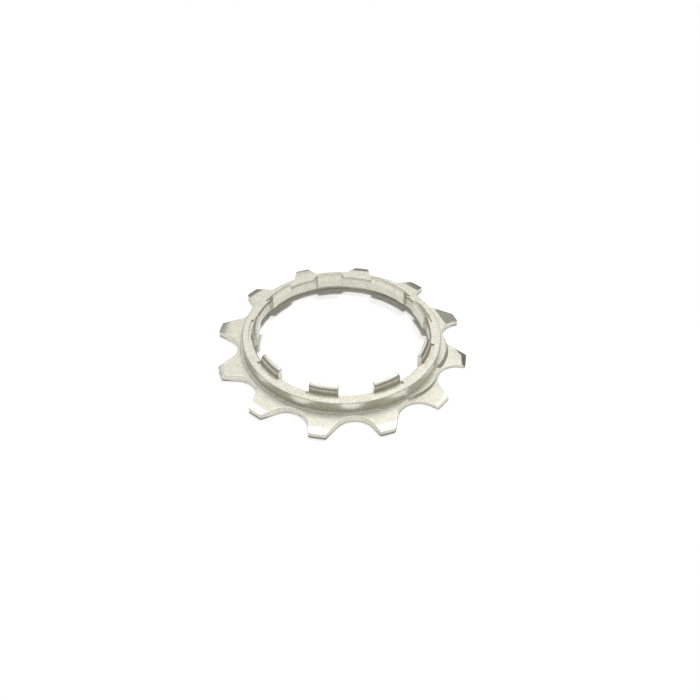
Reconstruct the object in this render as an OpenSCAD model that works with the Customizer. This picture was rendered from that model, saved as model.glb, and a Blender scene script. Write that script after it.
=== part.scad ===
// Cassette cog with twelve teeth, forged and stamped from one piece of steel: a toothed
// plate, a spacer collar that stands on its outboard side, and drive lugs that rise from
// the bore. Sizes are in millimetres and degrees. The origin is on the axis of the bore,
// in the plane of the back face. +Z points outboard through the collar, and +Y points at
// the regular place of the wide lug, so the lugs stand at 90 degrees and every step on.

/* [Teeth] */
// Pitch of the chain that runs on the teeth
chain_pitch = 12.7; // [12.6:0.05:13.5]
// Number of teeth
teeth = 12; // [12:1:16]
// Diameter of the chain's rollers, which sets the root circle
roller_d = 7.75; // [7.5:0.05:8]
// Radius of the round seat between two teeth
seat_r = 4.1; // [4:0.05:4.3]
// Height of the teeth above the root circle
tooth_h = 4.45; // [4.2:0.05:4.6]
// Half the width of the tip on a tooth that doesn't lean
tip_half = 1.4; // [1.2:0.05:1.6]
// Length of the bevel on the inboard face of a tip, on the teeth outside the recesses
back_run = 2; // [1:0.1:2.5]
// Rise of that bevel at the tip
back_rise = 0.4; // [0.1:0.05:0.5]
// Thickness of the toothed plate
plate_t = 1.6; // [1.5:0.05:2]
// Turn of the first tooth, counted from +X
first_tooth = 21.7; // [15:0.1:30]

/* [Shift recesses] */
// Depth of the two recesses that lower a tooth's outboard face
recess_depth = 0.8; // [0.5:0.05:1]
// Turn that a recess covers anticlockwise of its tooth's middle
recess_ahead = 12.2; // [11:0.1:13]
// Turn that a recess covers clockwise of its tooth's middle
recess_behind = 13.4; // [11:0.1:14]
// Radius of the curved wall at the foot of a recess
recess_bow = 9.1; // [8:0.1:11]
// Reach of the middle of that wall past the root circle
recess_crest = 0.3; // [0.1:0.05:0.5]
// Turn of that wall's middle from the middle of its tooth
recess_turn = 3.6; // [2:0.1:5]

/* [Collar] */
// Width of plate and spacer together, from the back face to the collar's top
stack_w = 3.95; // [3.7:0.05:4.4]
// Outer diameter of the collar
collar_d = 39.5; // [39.2:0.1:39.8]
// Thickness of the collar's wall, from the bore to its outer face
collar_wall = 2.25; // [2.1:0.05:2.4]
// Chamfer on the collar's outer top edge
collar_chamfer = 0.2; // [0.1:0.05:0.3]
// Width of the low step round the collar's foot
step_w = 0.6; // [0.3:0.05:0.65]
// Height of that step
step_h = 0.15; // [0.05:0.05:0.3]

/* [Bore] */
// Chamfer on the bore's top edge
bore_chamfer = 0.3; // [0.1:0.05:0.4]
// Room round the neighbour's lugs in the nest behind the plate
nest_side_gap = 0.85; // [0.5:0.05:1]
// Room past the neighbour's lugs in that nest
nest_end_gap = 0.1; // [0.05:0.05:0.2]
// Chamfer on the nest's edge at the back face
nest_chamfer = 0.2; // [0.1:0.05:0.3]

/* [Lugs] */
// Number of drive lugs
lug_count = 9; // [6:1:10]
// Turn that a lug covers
lug_turn = 18.2; // [14:0.2:20]
// Turn that the wide lug covers beyond the others, clockwise
wide_turn = 10.6; // [6:0.2:12]
// Reach of the lugs into the bore
lug_in = 0.9; // [0.6:0.05:1.1]
// Reach of the lugs' outer face behind the wall of the bore
lug_out = 0.25; // [0.15:0.05:0.4]
// Rise of the lugs above the collar's top
lug_rise = 1.55; // [1.2:0.05:1.7]
// Radius of the lugs' outer top corner
lug_round = 0.95; // [0.5:0.05:1.1]
// Radius of the cove between the lugs' outer face and the floor of the pocket
lug_cove = 0.4; // [0.2:0.05:0.6]
// Height of the slanted underside of the lugs
lug_slant = 0.8; // [0.5:0.05:1]
// Height at which that underside leaves the bore, above the roof of the nest
lug_lift = 0.05; // [0.05:0.05:0.3]
// Depth of the pocket behind a lug, below the collar's top
pocket_depth = 0.4; // [0.2:0.05:0.6]
// Width of the pocket behind a lug
pocket_w = 0.75; // [0.4:0.05:0.9]
// Turn by which a pocket runs past the lug at each end
pocket_turn = 0.7; // [0.3:0.1:1]

/* [Hidden] */
$fn = 144;

// Radii worked out from the diameters, and the heights that follow from them
pitch_r = chain_pitch / (2 * sin(180 / teeth));
root_r = pitch_r - roller_d / 2;
tip_r = root_r + tooth_h;
seat_at = root_r + seat_r;
collar_r = collar_d / 2;
bore_r = collar_r - collar_wall;
lug_in_r = bore_r - lug_in;
lug_out_r = bore_r + lug_out;
lug_top = stack_w + lug_rise;
nest_r = lug_out_r + nest_side_gap;
nest_depth = lug_rise + nest_end_gap;
lug_foot = nest_depth + lug_lift;
pocket_floor = stack_w - pocket_depth;
recess_floor = plate_t - recess_depth;
// Radius inside the collar's wall at which the plate ends
join_r = (nest_r + collar_r) / 2;
tooth_step = 360 / teeth;
lug_step = 360 / lug_count;
// Distance by which a cutter reaches past the stock that it cuts
past = 0.5;
// Distance by which a line or a floor runs inside a circle that it meets, so that they cross
bite = 0.02;
// Width of a bevel's cutter, wider than any tooth
cutter_w = 9;
// Turns between which the step round the collar's foot runs
step_from = 65;
step_to = 322;

// One row for each tooth, anticlockwise from the first. The first two values are what the
// tip gains clockwise and loses anticlockwise as it leans. The next two are the length of
// the bevel on the tip's outboard face and its drop at the tip, and the last is the
// bevel's turn. The first and the last tooth are the two that stand in a recess.
TOOTH_ROWS = [
    [0.95, 0.1, 1, 0.45, 0],
    [0.95, 1.15, 3.2, 0.55, -1],
    [0.95, 0.65, 2.1, 0.4, -0.5],
    [0.6, 0.45, 1.9, 0.45, 0],
    [0, 0, 2.2, 0.2, 1],
    [0, 0, 2.05, 0.4, 0],
    [0, 0, 2.35, 0.4, 5],
    [0, 0, 2, 0.38, 0],
    [0.25, 0, 2, 0.38, 0],
    [0.55, 0.2, 2, 0.38, 0],
    [0.55, 0.45, 2, 0.38, 0],
    [0.75, 0.15, 0.9, 0.25, 11]
];
// Length, drop and turn of the bevel down the first tooth's anticlockwise flank
FLANK_RUN = 1.35;
FLANK_DROP = 0.45;
FLANK_TURN = 38;
// Run of the recess wall's slope on the first and on the last tooth
WALL_RUN_FIRST = 0.5;
WALL_RUN_LAST = 0.2;

function tooth_at(i) = first_tooth + i * tooth_step;
function tooth_row(i) = TOOTH_ROWS[i % len(TOOTH_ROWS)];
function in_recess(i) = i == 0 || i == teeth - 1;
function face_z(i) = in_recess(i) ? recess_floor : plate_t;
function polar(r, a) = [r * cos(a), r * sin(a)];
function seat_centre(i, side) = polar(seat_at, tooth_at(i) + side * tooth_step / 2);

// Half the tip's width on one side of the tooth: side is -1 clockwise, 1 anticlockwise
function tip_reach(i, side) =
    side < 0 ? tip_half + tooth_row(i)[0] : tip_half - tooth_row(i)[1];
function tip_corner(i, side) =
    polar(tip_r, tooth_at(i) + side * asin(tip_reach(i, side) / tip_r));

// Point where the line from p touches the circle of radius r about c, on the given side
function tangent_point(p, c, r, side) =
    let (d = norm(p - c))
    let (a = atan2(p[1] - c[1], p[0] - c[0]) - side * acos(r / d))
    c + polar(r, a);

function flank_foot(i, side) =
    tangent_point(tip_corner(i, side), seat_centre(i, side), seat_r - bite, side);

// Corner of the tip carried on past the tip circle, along the flank
function flank_end(i, side) =
    let (p = tip_corner(i, side))
    let (q = flank_foot(i, side))
    p + past * (p - q) / norm(p - q);

module plate_outline() {
    intersection() {
        circle(r = tip_r);
        difference() {
            polygon([
                for (i = [0 : teeth - 1])
                    each [flank_foot(i, -1), flank_end(i, -1), flank_end(i, 1), flank_foot(i, 1)]
            ]);
            for (i = [0 : teeth - 1])
                translate(seat_centre(i, 1))
                    circle(r = seat_r);
            circle(r = join_r);
        }
    }
}

// Slanted cutter whose lower face drops by `drop` over `run` and leaves the stock above
// the polar point (r, a), facing the direction `turn`
module bevel_cut(r, a, turn, run, drop, top) {
    translate(concat(polar(r, a), top))
        rotate([0, 0, turn])
            translate([-run, -cutter_w / 2, 0])
                rotate([0, atan2(drop, run), 0])
                    cube([cutter_w, cutter_w, plate_t]);
}

module tip_bevel(i) {
    row = tooth_row(i);
    bevel_cut(tip_r, tooth_at(i), tooth_at(i) + row[4], row[2], row[3], face_z(i));
}

module back_bevel(i) {
    mirror([0, 0, 1])
        bevel_cut(tip_r, tooth_at(i), tooth_at(i), back_run, back_rise, 0);
}

module flank_bevel() {
    a = tooth_at(0) + asin(tip_reach(0, 1) / tip_r);
    bevel_cut(tip_r, a, tooth_at(0) + FLANK_TURN, FLANK_RUN, FLANK_DROP, face_z(0));
}

// Stock taken off round tooth i, down to the recess floor and out from the bowed wall
module recess_cut(i, wall_run) {
    difference() {
        rotate([0, 0, tooth_at(i) - recess_behind])
            rotate_extrude(angle = recess_behind + recess_ahead)
                translate([join_r, recess_floor])
                    square([tip_r - join_r + past, recess_depth + past]);
        rotate([0, 0, tooth_at(i) + recess_turn])
            translate([root_r + recess_crest - recess_bow, 0, recess_floor])
                cylinder(r1 = recess_bow + wall_run, r2 = recess_bow - wall_run, h = 2 * recess_depth);
    }
}

module plate() {
    difference() {
        linear_extrude(plate_t)
            plate_outline();
        recess_cut(0, WALL_RUN_FIRST);
        recess_cut(teeth - 1, WALL_RUN_LAST);
        for (i = [0 : teeth - 1]) {
            tip_bevel(i);
            if (!in_recess(i))
                back_bevel(i);
        }
        flank_bevel();
    }
}

// Collar and the ring of plate under it, with the nest for the neighbour's lugs behind
module collar() {
    rotate_extrude()
        polygon([
            [bore_r, nest_depth],
            [nest_r, nest_depth],
            [nest_r, nest_chamfer],
            [nest_r + nest_chamfer, 0],
            [collar_r, 0],
            [collar_r, stack_w - collar_chamfer],
            [collar_r - collar_chamfer, stack_w],
            [bore_r + bore_chamfer, stack_w],
            [bore_r, stack_w - bore_chamfer]
        ]);
}

module foot_step() {
    rotate([0, 0, step_from])
        rotate_extrude(angle = step_to - step_from)
            translate([join_r, plate_t / 2])
                square([collar_r + step_w - join_r, plate_t / 2 + step_h]);
}

// Turn of lug k's regular place, and the turns at which it starts and ends: lug 0 is wide
function lug_at(k) = 90 + k * lug_step;
function lug_from(k) = lug_at(k) - lug_turn / 2 - (k == 0 ? wide_turn : 0);
function lug_to(k) = lug_at(k) + lug_turn / 2;

module lug_section() {
    corner = min(lug_round, lug_out_r - lug_in_r);
    cove = min(lug_cove, pocket_w);
    cove_z = pocket_floor + cove - bite;
    difference() {
        polygon([
            [lug_in_r, lug_foot + lug_slant],
            [bore_r, lug_foot],
            [lug_out_r + cove, lug_foot],
            [lug_out_r + cove, cove_z],
            [lug_out_r, cove_z],
            [lug_out_r, lug_top],
            [lug_in_r, lug_top]
        ]);
        translate([lug_out_r + cove, cove_z])
            circle(r = cove);
        translate([lug_out_r - corner, lug_top - corner])
            difference() {
                square(corner + past);
                circle(r = corner);
            }
    }
}

module lug(k) {
    rotate([0, 0, lug_from(k)])
        rotate_extrude(angle = lug_to(k) - lug_from(k))
            lug_section();
}

module lug_pocket(k) {
    rotate([0, 0, lug_from(k) - pocket_turn])
        rotate_extrude(angle = lug_to(k) - lug_from(k) + 2 * pocket_turn)
            translate([bore_r - past, pocket_floor])
                square([lug_out + pocket_w + past, pocket_depth + past]);
}

// The whole cog, one piece of plated steel
module cog() {
    color("#c9c8bd") {
        difference() {
            union() {
                plate();
                collar();
                foot_step();
            }
            for (k = [0 : lug_count - 1])
                lug_pocket(k);
        }
        for (k = [0 : lug_count - 1])
            lug(k);
    }
}

cog();
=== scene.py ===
"""Twelve-tooth cassette cog of plated steel, dressed in the frame of its solid model.

The cog is one piece, forged and stamped: a toothed plate, a spacer collar on its outboard side
and nine drive lugs that rise from the bore. Its form is made here in millimetres, from the
sizes of the real part, with every outer edge broken as tumbling leaves it. The one closed mesh
is then scaled to metres and plated.
"""

import logging
import math
from dataclasses import dataclass, field
from enum import Enum
from typing import Iterator, Sequence, Union

import bmesh
import bpy
from mathutils import Matrix, Quaternion, Vector


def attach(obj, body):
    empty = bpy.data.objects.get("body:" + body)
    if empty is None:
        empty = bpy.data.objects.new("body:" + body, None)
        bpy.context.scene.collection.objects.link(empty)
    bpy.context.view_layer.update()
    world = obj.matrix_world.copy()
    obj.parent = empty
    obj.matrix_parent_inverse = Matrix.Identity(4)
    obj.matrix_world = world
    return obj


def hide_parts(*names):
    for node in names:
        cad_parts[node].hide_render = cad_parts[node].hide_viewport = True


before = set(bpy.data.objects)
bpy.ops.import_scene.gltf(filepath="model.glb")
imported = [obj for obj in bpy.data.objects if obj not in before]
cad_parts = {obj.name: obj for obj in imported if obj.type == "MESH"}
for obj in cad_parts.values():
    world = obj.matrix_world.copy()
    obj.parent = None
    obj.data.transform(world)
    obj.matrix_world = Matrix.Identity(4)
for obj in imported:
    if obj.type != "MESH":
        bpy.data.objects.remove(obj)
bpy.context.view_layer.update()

LOG = logging.getLogger("cassette_cog")
MM = 0.001
# Distances in millimetres under which two points of a mesh count as one, before an edge is
# rounded and after any other step
MERGE = 0.015
DOUBLED = 0.002
# Distance in millimetres by which a cutter reaches past what it cuts
PAST = 0.5

Ring = list[Vector]
Value = Union["Signal", float, int, tuple]


def polar(radius: float, turn: float, height: float = 0.0) -> Vector:
    """A point at a radius and a turn in degrees, at a height."""
    angle = math.radians(turn)
    return Vector((radius * math.cos(angle), radius * math.sin(angle), height))


def turn_of(point: Vector) -> float:
    """The turn of a point about the axis, in degrees."""
    return math.degrees(math.atan2(point.y, point.x))


def between(low: float, high: float, steps: int) -> list[float]:
    """Evenly spaced values from low to high, both ends with them."""
    return [low + (high - low) * k / steps for k in range(steps + 1)]


def broken_edge(radius: float, steps: int = 3) -> list[tuple[float, float]]:
    """The round of an edge as pairs of inset from the wall and depth below the face.

    Args:
        radius: Radius of the round.
        steps: Number of facets across it.

    Returns:
        Pairs that run from the face to the wall.
    """
    turns = [math.radians(a) for a in between(0, 90, steps)]
    return [(radius * (1 - math.sin(a)), radius * (1 - math.cos(a))) for a in turns]


def top_corner(wall: float, top: float, radius: float) -> list[tuple[float, float]]:
    """The round between a wall and a flat top.

    Args:
        wall: Radius of the wall from the axis.
        top: Height of the flat.
        radius: Radius of the round, negative where the wall faces outwards.

    Returns:
        Pairs of radius and height, from the wall to the flat.
    """
    size = abs(radius)
    return [
        (wall + radius * (1 - math.cos(a)), top - size * (1 - math.sin(a)))
        for a in (math.radians(t) for t in between(0, 90, 5))
    ]


class Side(Enum):
    """The two sides of a tooth, as seen from outboard."""

    CLOCKWISE = -1
    ANTICLOCKWISE = 1


class Fusion(Enum):
    """How one closed mesh changes another."""

    JOIN = "UNION"
    CUT = "DIFFERENCE"


class Face(Enum):
    """The two faces of the plate."""

    INBOARD = -1
    OUTBOARD = 1


class Solid:
    """A closed mesh in millimetres."""

    def __init__(self, mesh: bpy.types.Mesh) -> None:
        """Keeps a mesh that is already closed."""
        self.mesh = mesh

    @classmethod
    def skinned(cls, rings: Sequence[Ring], endless: bool = False) -> "Solid":
        """Skins rings that have as many points each.

        Args:
            rings: The rings, in their order along the solid.
            endless: True where the last ring meets the first, so that no end is capped.

        Returns:
            The closed solid.
        """
        bm = bmesh.new()
        made = [[bm.verts.new(point) for point in ring] for ring in rings]
        for low, high in zip(made, made[1:] + made[:1] if endless else made[1:]):
            for i, corner in enumerate(low):
                j = (i + 1) % len(low)
                bm.faces.new((corner, low[j], high[j], high[i]))
        if not endless:
            bm.faces.new(made[0])
            bm.faces.new(made[-1])
        bmesh.ops.recalc_face_normals(bm, faces=bm.faces)
        return cls.kept(bm)

    @classmethod
    def turned(cls, profile: Sequence[tuple[float, float]], sides: int = 360) -> "Solid":
        """Turns a profile of radius and height about the axis.

        Args:
            profile: Pairs of radius and height, upwards.
            sides: Number of facets round the axis.

        Returns:
            The solid, capped flat at both ends.
        """
        turns = [360 * k / sides for k in range(sides)]
        return cls.skinned([[polar(r, a, z) for a in turns] for r, z in profile])

    @classmethod
    def gathered(cls, solids: Sequence["Solid"]) -> "Solid":
        """Several solids that lie apart, as one mesh."""
        bm = bmesh.new()
        for solid in solids:
            bm.from_mesh(solid.mesh)
        return cls.kept(bm)

    @classmethod
    def kept(cls, bm: bmesh.types.BMesh) -> "Solid":
        """Keeps a mesh that is being worked on, without its doubled points."""
        bmesh.ops.remove_doubles(bm, verts=bm.verts, dist=DOUBLED)
        bmesh.ops.dissolve_degenerate(bm, dist=DOUBLED, edges=bm.edges)
        mesh = bpy.data.meshes.new("solid")
        bm.to_mesh(mesh)
        bm.free()
        return cls(mesh)

    def fused(self, how: Fusion, others: Sequence["Solid"]) -> "Solid":
        """This solid after others have been joined to it or cut from it.

        Args:
            how: Whether the others are joined or cut.
            others: The solids that change this one, which lie apart from each other.

        Returns:
            The new solid.
        """
        scene = bpy.context.scene
        base = bpy.data.objects.new("base", self.mesh)
        tool = bpy.data.objects.new("tool", Solid.gathered(others).mesh)
        for item in (base, tool):
            scene.collection.objects.link(item)
        step = base.modifiers.new("fusion", "BOOLEAN")
        step.operation = how.value
        step.solver = "EXACT"
        step.object = tool
        graph = bpy.context.evaluated_depsgraph_get()
        bm = bmesh.new()
        bm.from_mesh(base.evaluated_get(graph).to_mesh())
        for item in (base, tool):
            bpy.data.objects.remove(item)
        return Solid.kept(bm)

    def softened(self, width: float, sharper_than: float, face: Face) -> "Solid":
        """This solid with the outer edges of its flats rounded.

        Args:
            width: Width taken off each face beside an edge.
            sharper_than: Smallest bend, in degrees, of an edge that is rounded.
            face: The side whose flats have their edges rounded.

        Returns:
            The new solid.
        """
        bm = bmesh.new()
        bm.from_mesh(self.mesh)
        bmesh.ops.remove_doubles(bm, verts=bm.verts, dist=MERGE)
        edges = [
            e for e in bm.edges
            if len(e.link_faces) == 2 and e.is_convex
            and math.degrees(e.calc_face_angle()) > sharper_than
            and max(f.normal.z * face.value for f in e.link_faces) > 0.5
        ]
        bmesh.ops.bevel(
            bm, geom=edges, offset=width, offset_type="OFFSET", segments=2, profile=0.5,
            affect="EDGES", clamp_overlap=False, loop_slide=True, harden_normals=False,
        )
        return Solid.kept(bm)


@dataclass(frozen=True)
class Tooth:
    """What sets one tooth apart from its neighbours.

    Attributes:
        gain: What the tip gains clockwise as the tooth leans.
        loss: What the tip loses anticlockwise.
        run: Length of the bevel on the tip's outboard face.
        drop: Drop of that bevel at the tip.
        turn: Turn of that bevel from the tooth's own, in degrees.
    """

    gain: float
    loss: float
    run: float
    drop: float
    turn: float


@dataclass
class ToothedPlate:
    """The stamped plate, with its twelve teeth, their bevels and the two shift recesses.

    Attributes:
        pitch: Pitch of the chain.
        roller_d: Diameter of the chain's rollers.
        seat_r: Radius of the round seat between two teeth.
        tooth_h: Height of the teeth above the root circle.
        tip_half: Half the width of the tip on a tooth that doesn't lean.
        thickness: Thickness of the plate.
        first_turn: Turn of the first tooth from +X.
        corner_r: Radius of the corners of a tip.
        face_edge: Round of the outboard face's edges.
        back_edge: Round of the inboard face's edges, on the punch's side.
        back_run: Length of the bevel on the inboard face of a tip.
        back_rise: Rise of that bevel at the tip.
        join_r: Radius inside the collar's wall at which a recess starts.
        recess_depth: Depth of the recesses.
        recess_ahead: Turn that a recess covers anticlockwise of its tooth's middle.
        recess_behind: Turn that it covers clockwise.
        recess_bow: Radius of a recess's curved wall.
        recess_crest: Reach of that wall's middle past the root circle.
        recess_turn: Turn of that wall's middle from its tooth's.
        recess_walls: Run of the wall's slope in the first and the last tooth's recess.
        flank_bevel: Length, drop and turn of the bevel down the first tooth's flank.
        cutter_w: Width of a bevel's cutter, wider than any tooth.
        sharper_than: Smallest bend, in degrees, of an edge that is broken.
        teeth: The teeth, anticlockwise from the first.
    """

    pitch: float = 12.7
    roller_d: float = 7.75
    seat_r: float = 4.1
    tooth_h: float = 4.45
    tip_half: float = 1.4
    thickness: float = 1.6
    first_turn: float = 21.7
    corner_r: float = 0.25
    face_edge: float = 0.1
    back_edge: float = 0.22
    back_run: float = 2.0
    back_rise: float = 0.4
    join_r: float = 19.175
    recess_depth: float = 0.8
    recess_ahead: float = 12.2
    recess_behind: float = 13.4
    recess_bow: float = 9.1
    recess_crest: float = 0.3
    recess_turn: float = 3.6
    recess_walls: tuple[float, float] = (0.5, 0.2)
    flank_bevel: tuple[float, float, float] = (1.35, 0.45, 38.0)
    cutter_w: float = 9.0
    sharper_than: float = 33.0
    teeth: tuple[Tooth, ...] = (
        Tooth(0.95, 0.10, 1.00, 0.45, 0.0),
        Tooth(0.95, 1.15, 3.20, 0.55, -1.0),
        Tooth(0.95, 0.65, 2.10, 0.40, -0.5),
        Tooth(0.60, 0.45, 1.90, 0.45, 0.0),
        Tooth(0.00, 0.00, 2.20, 0.20, 1.0),
        Tooth(0.00, 0.00, 2.05, 0.40, 0.0),
        Tooth(0.00, 0.00, 2.35, 0.40, 5.0),
        Tooth(0.00, 0.00, 2.00, 0.38, 0.0),
        Tooth(0.25, 0.00, 2.00, 0.38, 0.0),
        Tooth(0.55, 0.20, 2.00, 0.38, 0.0),
        Tooth(0.55, 0.45, 2.00, 0.38, 0.0),
        Tooth(0.75, 0.15, 0.90, 0.25, 11.0),
    )
    root_r: float = field(init=False)
    tip_r: float = field(init=False)
    seat_at: float = field(init=False)
    recess_floor: float = field(init=False)

    def __post_init__(self) -> None:
        """Works out the circles from the chain's pitch and roller."""
        pitch_r = self.pitch / (2 * math.sin(math.pi / len(self.teeth)))
        self.root_r = pitch_r - self.roller_d / 2
        self.tip_r = self.root_r + self.tooth_h
        self.seat_at = self.root_r + self.seat_r
        self.recess_floor = self.thickness - self.recess_depth

    def turn_at(self, index: float) -> float:
        """Turn of a tooth's middle, or of a seat at a half."""
        return self.first_turn + index * 360 / len(self.teeth)

    def seat_centre(self, index: int, side: Side) -> Vector:
        """Centre of the seat on one side of a tooth."""
        return polar(self.seat_at, self.turn_at(index + side.value / 2))

    def tip_corner(self, index: int, side: Side) -> Vector:
        """Sharp corner of a tooth's tip, before it is rounded."""
        tooth = self.teeth[index]
        reach = self.tip_half + (tooth.gain if side is Side.CLOCKWISE else -tooth.loss)
        lean = math.degrees(math.asin(reach / self.tip_r))
        return polar(self.tip_r, self.turn_at(index) + side.value * lean)

    def flank(self, index: int, side: Side) -> tuple[Vector, Vector, Vector]:
        """One flank of a tooth.

        Args:
            index: Number of the tooth.
            side: Its clockwise or anticlockwise side.

        Returns:
            The foot, where the flank touches its seat, the way along it to the tip, and
            the way out of the steel.
        """
        corner = self.tip_corner(index, side)
        centre = self.seat_centre(index, side)
        away = corner - centre
        swing = -side.value * math.degrees(math.acos(self.seat_r / away.length))
        foot = centre + polar(self.seat_r, turn_of(away) + swing)
        return foot, (corner - foot).normalized(), (centre - foot).normalized()

    def corner_centre(self, index: int, side: Side) -> Vector:
        """Centre of the small round between a flank and the tip circle."""
        foot, along, out = self.flank(index, side)
        start = foot - self.corner_r * out
        half = start.dot(along)
        reach = self.tip_r - self.corner_r
        return start + along * (math.sqrt(half * half + reach * reach - start.dot(start)) - half)

    def outline(self) -> Ring:
        """The plate's outline, anticlockwise."""
        points: Ring = []
        for index in range(len(self.teeth)):
            points += self.tip_points(index)
            points += self.seat_points(index)
        return points

    def tip_points(self, index: int) -> Ring:
        """Both flanks, both corners and the tip of one tooth."""
        points: Ring = []
        spans: list[float] = []
        for side in Side:
            foot, _, out = self.flank(index, side)
            centre = self.corner_centre(index, side)
            spans.append(turn_of(centre))
            away = turn_of(centre)
            lean = (turn_of(out) - away + 180) % 360 - 180
            arc = [centre + polar(self.corner_r, away + lean * t) for t in between(1, 0, 4)]
            flank = [foot, *arc]
            points += flank if side is Side.CLOCKWISE else flank[::-1]
        start, end = spans[0], spans[0] + (spans[1] - spans[0]) % 360
        tip = [polar(self.tip_r, a) for a in between(start, end, 8)[1:-1]]
        middle = len(points) // 2
        return points[:middle] + tip + points[middle:]

    def seat_points(self, index: int) -> Ring:
        """The round seat after a tooth, without its two ends."""
        centre = self.seat_centre(index, Side.ANTICLOCKWISE)
        after = (index + 1) % len(self.teeth)
        start = turn_of(self.flank(index, Side.ANTICLOCKWISE)[0] - centre)
        end = turn_of(self.flank(after, Side.CLOCKWISE)[0] - centre)
        sweep = (start - end) % 360
        turns = between(start, start - sweep, 30)[1:-1]
        return [centre + polar(self.seat_r, a) for a in turns]

    def blank(self) -> Solid:
        """The stamped blank, with sharp edges."""
        outline = self.outline()
        levels = (0, self.thickness)
        return Solid.skinned([[Vector((p.x, p.y, z)) for p in outline] for z in levels])

    def face_height(self, index: int) -> float:
        """Height of a tooth's outboard face."""
        return self.recess_floor if index in (0, len(self.teeth) - 1) else self.thickness

    def bevel(self, index: int, turn: float, facing: float, run: float, drop: float) -> Solid:
        """Cutter for a slanted bevel on the tip circle.

        Args:
            index: Number of the tooth, whose face the bevel starts from.
            turn: Turn of the point from which the run is measured.
            facing: Turn of the way that the bevel faces.
            run: Length of the bevel.
            drop: Its drop over that length.

        Returns:
            The cutter, a slanted block.
        """
        width, top = self.cutter_w, self.thickness
        corners = [
            Vector((x, y, z))
            for z in (0, top)
            for x, y in ((0, -width / 2), (width, -width / 2), (width, width / 2), (0, width / 2))
        ]
        slant = Matrix.Rotation(math.atan2(drop, run), 4, "Y")
        place = Matrix.Translation(polar(self.tip_r, turn, self.face_height(index)))
        aim = Matrix.Rotation(math.radians(facing), 4, "Z") @ Matrix.Translation((-run, 0, 0))
        moved = [place @ aim @ slant @ c for c in corners]
        return Solid.skinned([moved[:4], moved[4:]])

    def back_bevel(self, index: int) -> Solid:
        """Cutter for the bevel on the inboard face of a tip."""
        edges = [
            (self.tip_r - self.back_run, 0.0),
            (self.tip_r + self.back_run, 2 * self.back_rise),
            (self.tip_r + self.back_run, -PAST),
            (self.tip_r - self.back_run, -PAST),
        ]
        aim = Matrix.Rotation(math.radians(self.turn_at(index)), 4, "Z")
        half = self.cutter_w / 2
        return Solid.skinned([[aim @ Vector((x, y, z)) for x, z in edges] for y in (-half, half)])

    def tip_bevels(self) -> list[Solid]:
        """Cutters for the bevels on both faces of the tips."""
        cutters = [
            self.bevel(i, self.turn_at(i), self.turn_at(i) + t.turn, t.run, t.drop)
            for i, t in enumerate(self.teeth)
        ]
        return cutters + [self.back_bevel(i) for i in range(1, len(self.teeth) - 1)]

    def down_flank(self) -> Solid:
        """Cutter for the bevel down the first tooth's anticlockwise flank."""
        run, drop, turn = self.flank_bevel
        corner = turn_of(self.tip_corner(0, Side.ANTICLOCKWISE))
        return self.bevel(0, corner, self.turn_at(0) + turn, run, drop)

    def recess(self, index: int, wall_run: float) -> Solid:
        """Cutter for the recess round a tooth, down to its floor and out from a bowed wall.

        Args:
            index: Number of the tooth that stands in the recess.
            wall_run: Run of the wall's slope.

        Returns:
            The cutter.
        """
        low, high = self.recess_floor, self.thickness + PAST
        middle = self.turn_at(index)
        turns = between(middle - self.recess_behind, middle + self.recess_ahead, 40)
        sector = [polar(self.join_r, a) for a in turns]
        sector += [polar(self.tip_r + PAST, a) for a in reversed(turns)]
        stock = Solid.skinned([[Vector((p.x, p.y, z)) for p in sector] for z in (low, high)])
        centre = polar(self.root_r + self.recess_crest - self.recess_bow, middle + self.recess_turn)
        slope = wall_run / self.recess_depth
        levels = (low - PAST, high + PAST)
        bow = [
            [
                centre + polar(self.recess_bow - slope * (z - self.thickness), a, z)
                for a in between(0, 360, 240)[:-1]
            ]
            for z in levels
        ]
        return stock.fused(Fusion.CUT, [Solid.skinned(bow)])

    def build(self) -> Solid:
        """The plate as a solid disc, ready for the collar and the bore."""
        last = len(self.teeth) - 1
        recesses = [self.recess(0, self.recess_walls[0]), self.recess(last, self.recess_walls[1])]
        cut = self.blank().fused(Fusion.CUT, recesses).fused(Fusion.CUT, self.tip_bevels())
        cut = cut.fused(Fusion.CUT, [self.down_flank()])
        rounded = cut.softened(self.face_edge, self.sharper_than, Face.OUTBOARD)
        return rounded.softened(self.back_edge, self.sharper_than, Face.INBOARD)


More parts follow.
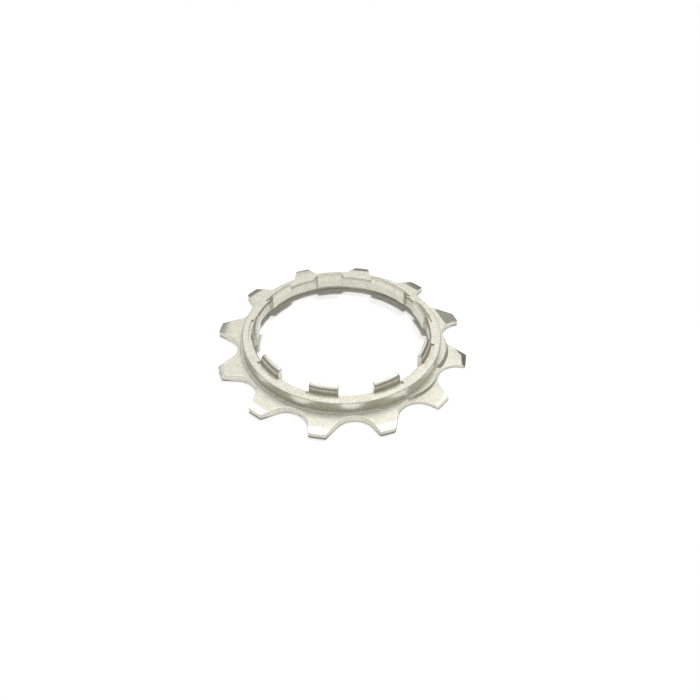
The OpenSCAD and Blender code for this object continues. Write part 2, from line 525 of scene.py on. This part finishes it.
@dataclass
class SpacerCollar:
    """The collar that keeps the next cog at its distance, with its bore and the low foot step.

    Attributes:
        stack_w: Height of its top above the back face.
        outer_d: Its outer diameter.
        wall: Thickness of its wall.
        edge: Round of its outer top edge.
        root: Height at which its ring starts inside the plate.
        step_w: Width of the low step round its foot.
        step_top: Height of the step's top.
        step_edge: Round of the step's edge.
        step_span: Turns at which the step starts and ends.
        step_root: Radius and height of the step's hidden inner corner.
        bore_chamfer: Chamfer on the bore's top edge.
        nest_r: Radius of the nest for the neighbour's lugs.
        nest_depth: Depth of the nest.
        nest_chamfer: Chamfer on the nest's edge.
    """

    stack_w: float = 3.95
    outer_d: float = 39.5
    wall: float = 2.25
    edge: float = 0.2
    root: float = 0.4
    step_w: float = 0.6
    step_top: float = 1.75
    step_edge: float = 0.1
    step_span: tuple[float, float] = (65.5, 321.5)
    step_root: tuple[float, float] = (19.175, 1.0)
    bore_chamfer: float = 0.3
    nest_r: float = 18.6
    nest_depth: float = 1.65
    nest_chamfer: float = 0.2
    outer_r: float = field(init=False)
    bore_r: float = field(init=False)

    def __post_init__(self) -> None:
        """Works out the radii."""
        self.outer_r = self.outer_d / 2
        self.bore_r = self.outer_r - self.wall

    def ring(self) -> Solid:
        """The collar before it is bored."""
        top = [(self.outer_r - i, self.stack_w - d) for i, d in reversed(broken_edge(self.edge))]
        return Solid.turned([(self.outer_r, self.root), *top])

    def step(self) -> Solid:
        """The low step round the collar's foot, which stops short of the recesses."""
        inner, low = self.step_root
        outer = self.outer_r + self.step_w
        round_over = reversed(broken_edge(self.step_edge))
        section = [(inner, low), (outer, low)]
        section += [(outer - i, self.step_top - d) for i, d in round_over]
        section.append((inner, self.step_top))
        turns = between(*self.step_span, 256)
        return Solid.skinned([[polar(r, a, z) for r, z in section] for a in turns])

    def bore(self) -> Solid:
        """Cutter for the bore, its top chamfer and the nest behind the plate."""
        mouth = self.nest_r + self.nest_chamfer
        flare = self.bore_r + self.bore_chamfer
        return Solid.turned([
            (mouth, -PAST),
            (mouth, 0),
            (self.nest_r, self.nest_chamfer),
            (self.nest_r, self.nest_depth),
            (self.bore_r, self.nest_depth),
            (self.bore_r, self.stack_w - self.bore_chamfer),
            (flare, self.stack_w),
            (flare, self.stack_w + PAST),
        ])


@dataclass
class DriveLugs:
    """The nine lugs that carry the drive, one of them wide, and the pocket behind each.

    Attributes:
        collar: The collar that they rise from.
        count: Number of lugs.
        wide_at: Turn of the wide lug's regular place.
        span: Turn that a lug covers.
        wide_extra: Turn that the wide lug covers beyond it, clockwise.
        reach_in: Reach of the lugs into the bore.
        reach_out: Reach of their outer face behind the wall of the bore.
        rise: Their rise above the collar's top.
        outer_round: Round of the outer top corner.
        inner_round: Round of the inner top corner.
        end_round: Round of the ends.
        corner_share: Share of an end's inset by which the inner round shrinks there.
        slant: Height of the slanted underside.
        lift: Height at which the underside leaves the bore, above the nest's roof.
        bury: Depth by which the underside runs on into the collar.
        pocket_depth: Depth of the pocket behind a lug.
        pocket_w: Width of the pocket.
        pocket_past: Turn by which it runs past the lug at each end.
        pocket_edge: Round of its rim.
        cove: Radius of the cove at the lug's outer foot.
    """

    collar: SpacerCollar
    count: int = 9
    wide_at: float = 90.0
    span: float = 18.2
    wide_extra: float = 10.6
    reach_in: float = 0.9
    reach_out: float = 0.25
    rise: float = 1.55
    outer_round: float = 0.95
    inner_round: float = 0.18
    end_round: float = 0.18
    corner_share: float = 0.8
    slant: float = 0.8
    lift: float = 0.05
    bury: float = 0.04
    pocket_depth: float = 0.4
    pocket_w: float = 0.75
    pocket_past: float = 0.7
    pocket_edge: float = 0.08
    cove: float = 0.4

    def spans(self) -> Iterator[tuple[float, float]]:
        """The turns at which each lug starts and ends."""
        for k in range(self.count):
            middle = self.wide_at + k * 360 / self.count
            extra = self.wide_extra if k == 0 else 0
            yield middle - self.span / 2 - extra, middle + self.span / 2

    def section(self, inset: float) -> list[tuple[float, float]]:
        """The lug's section, drawn in from its free faces by an inset.

        Args:
            inset: Distance from the true faces.

        Returns:
            Pairs of radius and height.
        """
        top = self.collar.stack_w + self.rise - inset
        inner = self.collar.bore_r - self.reach_in + inset
        outer = self.collar.bore_r + self.reach_out - inset
        foot = self.collar.nest_depth + self.lift + inset
        floor = self.collar.stack_w - self.pocket_depth
        turns = [math.radians(a) for a in between(15, 90, 6)]
        cove = [
            (outer + self.cove * (1 - math.sin(a)), floor + self.cove * (1 - math.cos(a)))
            for a in turns
        ]
        root = cove[0][0]
        buried = self.collar.bore_r + self.bury
        sunk = foot - self.bury * self.slant / self.reach_in
        points = [(inner, foot + self.slant), (buried, sunk), (root, sunk), *cove]
        points += top_corner(outer, top, -(self.outer_round - inset))
        points += top_corner(inner, top, self.inner_round - self.corner_share * inset)[::-1]
        return points

    def lug(self, start: float, end: float) -> Solid:
        """One lug between two turns, with rounded ends."""
        middle_r = self.collar.bore_r - self.reach_in / 2
        ends = [(math.degrees(d / middle_r), i) for i, d in broken_edge(self.end_round)]
        stations = [(start + turn, inset) for turn, inset in ends]
        stations += [(a, 0.0) for a in between(stations[-1][0], end - ends[-1][0], 24)[1:-1]]
        stations += [(end - turn, inset) for turn, inset in reversed(ends)]
        return Solid.skinned([[polar(r, a, z) for r, z in self.section(i)] for a, i in stations])

    def pocket(self, start: float, end: float) -> Solid:
        """Cutter for the pocket behind one lug, with a flared rim."""
        top = self.collar.stack_w
        floor = top - self.pocket_depth
        far = self.collar.bore_r + self.reach_out + self.pocket_w
        near = self.collar.bore_r - PAST
        flare = [(top - depth, grow) for grow, depth in reversed(broken_edge(self.pocket_edge))]
        levels = [(floor, 0.0), *flare, (top + PAST, self.pocket_edge)]
        rings = []
        for z, grow in levels:
            slack = self.pocket_past + math.degrees(grow / far)
            turns = between(start - slack, end + slack, 24)
            ring = [polar(near, a, z) for a in turns]
            rings.append(ring + [polar(far + grow, a, z) for a in reversed(turns)])
        return Solid.skinned(rings)

    def lugs(self) -> list[Solid]:
        """All the lugs."""
        return [self.lug(start, end) for start, end in self.spans()]

    def pockets(self) -> list[Solid]:
        """The cutters for all the pockets."""
        return [self.pocket(start, end) for start, end in self.spans()]


class Signal:
    """One output of a node, on which arithmetic adds Math nodes."""

    def __init__(self, graph: "Graph", socket: bpy.types.NodeSocket) -> None:
        """Keeps the socket and the graph that it belongs to."""
        self.graph = graph
        self.socket = socket

    def math(self, operation: str, *values: Value) -> "Signal":
        """Adds one Math node on these values."""
        return self.graph.node("ShaderNodeMath", {"operation": operation}, dict(enumerate(values)))

    def __add__(self, other: Value) -> "Signal":
        """This value and another."""
        return self.math("ADD", self, other)

    def __sub__(self, other: Value) -> "Signal":
        """This value less another."""
        return self.math("SUBTRACT", self, other)

    def __rsub__(self, other: Value) -> "Signal":
        """Another value less this one."""
        return self.math("SUBTRACT", other, self)

    def __mul__(self, other: Value) -> "Signal":
        """This value times another."""
        return self.math("MULTIPLY", self, other)

    __radd__ = __add__
    __rmul__ = __mul__

    def ramp(self, low: float, high: float, start: float = 0.0, end: float = 1.0) -> "Signal":
        """Eases from one value to another while this value passes between two limits.

        Args:
            low: Value at which the change starts.
            high: Value at which it is complete.
            start: Result before the change.
            end: Result after it.

        Returns:
            The eased value.
        """
        settings = {"interpolation_type": "SMOOTHSTEP"}
        inputs = {
            "Value": self, "From Min": low, "From Max": high, "To Min": start, "To Max": end,
        }
        return self.graph.node("ShaderNodeMapRange", settings, inputs)

    def above(self, limit: float) -> "Signal":
        """1 where this value is above a limit, and 0 elsewhere."""
        return self.math("GREATER_THAN", self, limit)

    def larger(self, other: Value) -> "Signal":
        """The larger of this value and another."""
        return self.math("MAXIMUM", self, other)

    def tint(self, first: tuple, second: tuple) -> "Signal":
        """A colour between two, by this value.

        Args:
            first: Red, green and blue where this value is 0.
            second: Red, green and blue where it is 1.

        Returns:
            The mixed colour.
        """
        inputs = {"Factor": self, 6: (*first, 1.0), 7: (*second, 1.0)}
        return self.graph.node("ShaderNodeMix", {"data_type": "RGBA"}, inputs, 2)


class Graph:
    """The nodes of one material or of the world."""

    def __init__(self, owner: Union[bpy.types.Material, bpy.types.World]) -> None:
        """Empties the owner's node tree."""
        owner.use_nodes = True
        self.tree = owner.node_tree
        self.tree.nodes.clear()

    def node(self, kind: str, settings: dict, inputs: dict, output: Union[int, str] = 0) -> Signal:
        """Adds one node.

        Args:
            kind: Blender's name for the type of node.
            settings: The node's own settings, which are made first.
            inputs: Values or links of its sockets, by name or number.
            output: The output that is wanted, by name or number.

        Returns:
            That output.
        """
        made = self.tree.nodes.new(kind)
        for name, setting in settings.items():
            setattr(made, name, setting)
        for key, value in inputs.items():
            if isinstance(value, Signal):
                self.tree.links.new(value.socket, made.inputs[key])
            else:
                made.inputs[key].default_value = value
        return Signal(self, made.outputs[output] if made.outputs else None)

    def noise(self, place: Signal, size: float, detail: float = 2.0, rough: float = 0.5) -> Signal:
        """Soft noise whose features are of a given size in metres."""
        inputs = {"Vector": place, "Scale": 1 / size, "Detail": detail, "Roughness": rough}
        return self.node("ShaderNodeTexNoise", {}, inputs, "Fac")


@dataclass(frozen=True)
class PlatedSteel:
    """Matte nickel plating on tumbled steel, warm and pale, with a fine grain.

    Attributes:
        slot: The record's slot for this finish.
        pale: Colour of the plating where it is brightest.
        warm: Colour of its warmer, duller patches.
        dull: Roughness of the tumbled faces and edges.
        sleek: Roughness of the coined bevels and the collar's turned wall.
        rubbed: Roughness of the lugs, which stand proud.
        proud: Level above which the lugs are rubbed.
        bevels: Heights of a face's normal between which it counts as a bevel.
        blend: Height over which one roughness passes into the other.
        upright: Height of its normal under which a face counts as a wall.
        coined_to: Level up to which the plate's bevels reach.
        turned_from: Radius past which a wall above that level is the collar's.
        dull_swing: How far the roughness strays.
        cloud: Size of the large patches.
        mottle: Size of the small patches.
        grain: Size of the grain.
        grain_depth: Height of the grain.
        dent: Size of the shallow tumbling marks.
        dent_depth: Depth of those marks.
        patches: For the large patches, the small ones and the grain, how far the noise strays
            before the colour is at its palest or warmest, and its share in the colour.
    """

    slot: str = "plated_steel"
    pale: tuple[float, float, float] = (0.83, 0.82, 0.73)
    warm: tuple[float, float, float] = (0.63, 0.615, 0.51)
    dull: float = 0.52
    sleek: float = 0.30
    rubbed: float = 0.40
    proud: float = 3.97 * MM
    bevels: tuple[float, float] = (0.90, 0.9965)
    blend: float = 0.002
    upright: float = 0.3
    coined_to: float = 1.7 * MM
    turned_from: float = 19.0 * MM
    dull_swing: float = 0.08
    cloud: float = 5.0 * MM
    mottle: float = 0.9 * MM
    grain: float = 0.32 * MM
    grain_depth: float = 0.015 * MM
    dent: float = 1.2 * MM
    dent_depth: float = 0.015 * MM
    patches: tuple[tuple[float, float], ...] = ((0.20, 0.20), (0.15, 0.25), (0.15, 0.55))

    def material(self) -> bpy.types.Material:
        """Makes the material with its procedural colour, roughness and grain."""
        made = bpy.data.materials.new(self.slot)
        graph = Graph(made)
        place = graph.node("ShaderNodeTexCoord", {}, {}, "Object")
        clouds = graph.noise(place, self.cloud, 3.0)
        mottling = graph.noise(place, self.mottle, 3.0, 0.6)
        grain = graph.noise(place, self.grain, 2.0, 0.6)
        dents = graph.noise(place, self.dent, 2.0)
        patches = sum(
            noise.ramp(0.5 - swing, 0.5 + swing) * share
            for noise, (swing, share) in zip((clouds, mottling, grain), self.patches)
        )
        bare = graph.node("ShaderNodeNewGeometry", {}, {}, "Normal")
        tilt = graph.node("ShaderNodeSeparateXYZ", {}, {"Vector": bare}, "Z")
        level = graph.node("ShaderNodeSeparateXYZ", {}, {"Vector": place}, "Z")
        across = {0: place, 1: (1.0, 1.0, 0.0)}
        flat = graph.node("ShaderNodeVectorMath", {"operation": "MULTIPLY"}, across)
        radius = graph.node("ShaderNodeVectorMath", {"operation": "LENGTH"}, {0: flat}, "Value")
        raised = level.above(self.coined_to)
        low, high = self.bevels
        coined = tilt.ramp(low, low + self.blend) * tilt.ramp(high, high + self.blend, 1.0, 0.0)
        turned = tilt.ramp(0.0, self.upright, 1.0, 0.0) * radius.above(self.turned_from)
        smooth = coined * (1 - raised) + turned * raised
        worn = level.above(self.proud)
        rough = self.dull + smooth * (self.sleek - self.dull) + worn * (self.rubbed - self.dull)
        height = graph.node("ShaderNodeBump", {}, {
            "Strength": 1.0, "Distance": self.dent_depth, "Height": dents,
        })
        surface = graph.node("ShaderNodeBump", {}, {
            "Strength": 1.0, "Distance": self.grain_depth, "Height": grain, "Normal": height,
        })
        shader = graph.node("ShaderNodeBsdfPrincipled", {}, {
            "Base Color": patches.tint(self.pale, self.warm),
            "Metallic": 1.0,
            "Roughness": rough + (mottling - 0.5) * self.dull_swing,
            "Normal": surface,
        })
        graph.node("ShaderNodeOutputMaterial", {}, {"Surface": shader}, 0)
        return made


@dataclass(frozen=True)
class StudioFloor:
    """White paper that the cog lies on, which keeps its shadow.

    Attributes:
        paper: Reflectance of the paper.
        lift: Light that makes its open parts white.
        size: Side of the sheet.
        near: Distance from the axis within which the paper is only lit.
        far: Distance past which it is plain white.
        gap: Room between the cog and the sheet.
    """

    paper: float = 0.95
    lift: float = 0.05
    size: float = 3.0
    near: float = 0.05
    far: float = 0.12
    gap: float = 0.01 * MM

    def material(self) -> bpy.types.Material:
        """Makes paper that fades to plain white away from the cog."""
        made = bpy.data.materials.new("white_paper")
        graph = Graph(made)
        path = [
            graph.node("ShaderNodeLightPath", {}, {}, name)
            for name in ("Is Camera Ray", "Is Glossy Ray", "Is Transmission Ray")
        ]
        seen = graph.node("ShaderNodeClamp", {}, {"Value": path[0] + path[1] + path[2]})
        place = graph.node("ShaderNodeTexCoord", {}, {}, "Object")
        reach = graph.node("ShaderNodeVectorMath", {"operation": "LENGTH"}, {0: place}, "Value")
        away = seen * reach.ramp(self.near, self.far)
        white = (self.paper,) * 3 + (1.0,)
        lit = graph.node("ShaderNodeBsdfDiffuse", {}, {"Color": white})
        glow = graph.node("ShaderNodeEmission", {}, {"Strength": seen * self.lift})
        near = graph.node("ShaderNodeAddShader", {}, {0: lit, 1: glow})
        plain = graph.node("ShaderNodeEmission", {}, {"Strength": 1.0})
        paper = graph.node("ShaderNodeMixShader", {}, {0: away, 1: near, 2: plain})
        graph.node("ShaderNodeOutputMaterial", {}, {"Surface": paper})
        return made

    def build(self) -> bpy.types.Object:
        """Lays the sheet under the cog."""
        half = self.size / 2
        corners = [(-half, -half), (half, -half), (half, half), (-half, half)]
        mesh = bpy.data.meshes.new("studio_floor")
        mesh.from_pydata([(x, y, -self.gap) for x, y in corners], [], [(0, 1, 2, 3)])
        mesh.materials.append(self.material())
        sheet = bpy.data.objects.new("studio_floor", mesh)
        bpy.context.scene.collection.objects.link(sheet)
        return sheet


@dataclass(frozen=True)
class Lamp:
    """One soft lamp, which lights the paper. The steel shows the room instead.

    Attributes:
        name: What the lamp is called.
        aim: Way from the cog to the lamp, in the camera's own turn about the axis: to its
            right, away from it and up.
        share: Share of plain light that it gives on the floor.
        width: Width of its square face.
        reach: Its distance from the cog.
    """

    name: str
    aim: tuple[float, float, float]
    share: float
    width: float
    reach: float = 0.6

    def build(self, turn: float) -> None:
        """Hangs the lamp.

        Args:
            turn: Turn of the camera about the axis, in degrees.
        """
        light = bpy.data.lights.new(self.name, "AREA")
        light.shape = "SQUARE"
        light.size = self.width
        light.energy = self.share * math.pi ** 2 * self.reach ** 2
        lamp = bpy.data.objects.new(self.name, light)
        way = Matrix.Rotation(math.radians(turn), 3, "Z") @ Vector(self.aim).normalized()
        lamp.location = way * self.reach
        lamp.rotation_euler = way.to_track_quat("Z", "Y").to_euler()
        lamp.visible_glossy = False
        bpy.context.scene.collection.objects.link(lamp)


@dataclass(frozen=True)
class StudioSky:
    """The room round the cog: bright overhead, brightest in a window, dim near the floor.

    Attributes:
        ambient: Plain light that it sheds.
        cool: Colour of that light.
        glow: Brightness overhead, as the steel shows it.
        full: Angle from overhead within which the room has that brightness.
        end: Angle from overhead at which it has ended.
        window_aim: Way from the cog to the window, in the camera's own turn about the axis:
            to its right, away from it and up.
        window: What the window adds.
        window_full: Angle from the window's middle within which it has its full brightness.
        window_end: Angle from its middle at which it ends.
        dim_aim: Way from the cog to the middle of the dim part.
        dim: Brightness of the dim part.
        dark: Brightness of the dark part.
        lit: Share of the way towards the dim part at which the dark part has ended.
        unlit: Share of the way at which it begins.
    """

    ambient: float = 0.12
    cool: tuple[float, float, float] = (0.90, 0.98, 1.0)
    glow: float = 1.02
    full: float = 38.0
    end: float = 58.0
    window_aim: tuple[float, float, float] = (0.08, 0.50, 0.86)
    window: float = 1.65
    window_full: float = 8.0
    window_end: float = 28.0
    dim_aim: tuple[float, float, float] = (-0.45, 1.0, 0.25)
    dim: float = 0.18
    dark: float = 0.08
    lit: float = 0.85
    unlit: float = 0.1

    def build(self, turn: float) -> None:
        """Makes the world.

        Args:
            turn: Turn of the camera about the axis, in degrees.
        """
        world = bpy.data.worlds.new("studio_room")
        graph = Graph(world)
        path = {
            name: graph.node("ShaderNodeLightPath", {}, {}, name)
            for name in ("Is Camera Ray", "Is Transmission Ray", "Is Glossy Ray", "Is Diffuse Ray")
        }
        low = self.towards(graph, self.dim_aim, turn)
        low = low.ramp(self.unlit, self.lit, self.dark, self.dim)
        high = self.towards(graph, (0, 0, 1), turn)
        high = high.ramp(*self.cone(self.end, self.full))
        window = self.towards(graph, self.window_aim, turn)
        window = window.ramp(*self.cone(self.window_end, self.window_full))
        room = low.larger(high * self.glow) + window * self.window
        strength = path["Is Camera Ray"] + path["Is Transmission Ray"]
        strength = strength + path["Is Glossy Ray"] * room
        strength = strength + path["Is Diffuse Ray"] * self.ambient
        colour = path["Is Diffuse Ray"].tint((1.0, 1.0, 1.0), self.cool)
        light = graph.node("ShaderNodeBackground", {}, {"Color": colour, "Strength": strength})
        graph.node("ShaderNodeOutputWorld", {}, {"Surface": light})
        bpy.context.scene.world = world

    @staticmethod
    def cone(end: float, full: float) -> tuple[float, float]:
        """The cosines of the angles from its middle at which a bright part ends and is full."""
        return math.cos(math.radians(end)), math.cos(math.radians(full))

    def towards(self, graph: Graph, aim: tuple[float, float, float], turn: float) -> Signal:
        """How far a ray points one way.

        Args:
            graph: The world's nodes.
            aim: That way, in the camera's own turn.
            turn: Turn of the camera about the axis, in degrees.

        Returns:
            The cosine of the angle between them.
        """
        way = graph.node("ShaderNodeTexCoord", {}, {}, "Generated")
        middle = tuple(Matrix.Rotation(math.radians(turn), 3, "Z") @ Vector(aim).normalized())
        settings = {"operation": "DOT_PRODUCT"}
        return graph.node("ShaderNodeVectorMath", settings, {0: way, 1: middle}, "Value")


@dataclass(frozen=True)
class Viewpoint:
    """The photograph's camera, found by fitting the cog's own circles and teeth.

    Attributes:
        place: The camera's place, in millimetres.
        target: The point that it looks at, in millimetres.
        roll: Turn of the picture about its middle, in degrees.
        focal: Focal length in pixels of the picture.
        picture: Side of the square picture, in pixels.
        sensor: Width of the sensor, in millimetres.
        nearest: Distance at which the camera starts to see, in metres.
    """

    place: tuple[float, float, float] = (57.89, -97.62, 103.44)
    target: tuple[float, float, float] = (2.074, -0.162, 0.0)
    roll: float = 1.143
    focal: float = 757.517
    picture: int = 700
    sensor: float = 36.0
    nearest: float = 0.01

    @property
    def turn(self) -> float:
        """Turn of the camera about the axis, in degrees, where 0 looks along +Y."""
        return math.degrees(math.atan2(self.place[0], -self.place[1]))

    def build(self) -> bpy.types.Object:
        """Makes the camera and gives it to the scene."""
        place, target = Vector(self.place), Vector(self.target)
        aim = (target - place).to_track_quat("-Z", "Y")
        aim = aim @ Quaternion((0, 0, 1), math.radians(self.roll))
        data = bpy.data.cameras.new("camera")
        data.sensor_width = self.sensor
        data.lens = self.sensor * self.focal / self.picture
        data.clip_start = self.nearest
        camera = bpy.data.objects.new("camera", data)
        camera.location = place * MM
        camera.rotation_mode = "QUATERNION"
        camera.rotation_quaternion = aim
        bpy.context.scene.collection.objects.link(camera)
        bpy.context.scene.camera = camera
        return camera


@dataclass
class Cog:
    """The whole cog, one closed piece of plated steel.

    Attributes:
        finish: Its plating.
        plate: The toothed plate.
        collar: The spacer collar.
        crease: Smallest bend, in degrees, of an edge that stays sharp.
        bend: Smallest bend that stays sharp between two broad facets.
        facet: Area in square millimetres from which a facet is broad.
    """

    finish: PlatedSteel = field(default_factory=PlatedSteel)
    plate: ToothedPlate = field(default_factory=ToothedPlate)
    collar: SpacerCollar = field(default_factory=SpacerCollar)
    crease: float = 33.0
    bend: float = 3.0
    facet: float = 0.3

    def form(self) -> Solid:
        """Joins the plate, the collar and the lugs, and cuts the bore and the pockets."""
        lugs = DriveLugs(self.collar)
        body = self.plate.build().fused(Fusion.JOIN, [self.collar.ring()])
        body = body.fused(Fusion.JOIN, [self.collar.step()])
        body = body.fused(Fusion.CUT, [self.collar.bore()]).fused(Fusion.CUT, lugs.pockets())
        return body.fused(Fusion.JOIN, lugs.lugs())

    def build(self) -> bpy.types.Object:
        """Makes the piece, plates it and puts it in place of the plain solid."""
        mesh = self.form().mesh
        mesh.name = "plated_cog"
        mesh.shade_smooth()
        mesh.set_sharp_from_angle(angle=math.radians(self.crease))
        self.mark_facets(mesh)
        mesh.transform(Matrix.Scale(MM, 4))
        mesh.materials.clear()
        mesh.materials.append(self.finish.material())
        piece = bpy.data.objects.new("plated_cog", mesh)
        bpy.context.scene.collection.objects.link(piece)
        smooth = piece.modifiers.new("face_normals", "WEIGHTED_NORMAL")
        smooth.keep_sharp = True
        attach(piece, "root")
        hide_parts("cog")
        return piece

    def mark_facets(self, mesh: bpy.types.Mesh) -> None:
        """Keeps the slight bends between broad facets crisp.

        Args:
            mesh: The mesh, in millimetres.
        """
        bm = bmesh.new()
        bm.from_mesh(mesh)
        for edge in bm.edges:
            if len(edge.link_faces) == 2 and edge.calc_face_angle() > math.radians(self.bend):
                if min(face.calc_area() for face in edge.link_faces) > self.facet:
                    edge.smooth = False
        bm.to_mesh(mesh)
        bm.free()


def main() -> None:
    """Builds the cog and the studio, and reports each piece."""
    logging.basicConfig(level=logging.INFO, format="%(name)s: %(message)s")
    piece = Cog().build()
    LOG.info("%s: %d faces", piece.name, len(piece.data.polygons))
    sheet = StudioFloor().build()
    LOG.info("%s: %.1f m wide", sheet.name, sheet.dimensions.x)
    view = Viewpoint()
    camera = view.build()
    LOG.info("%s: lens %.2f mm", camera.name, camera.data.lens)
    StudioSky().build(view.turn)
    for lamp in (
        Lamp("key_lamp", (-0.05, -0.10, 1.0), 0.68, 0.10),
        Lamp("rear_lamp", (0.12, 0.32, 1.0), 0.28, 0.12),
    ):
        lamp.build(view.turn)
        LOG.info("%s: %.2f of plain light", lamp.name, lamp.share)
    bpy.context.scene.view_settings.view_transform = "Standard"


if __name__ == "__main__":
    main()
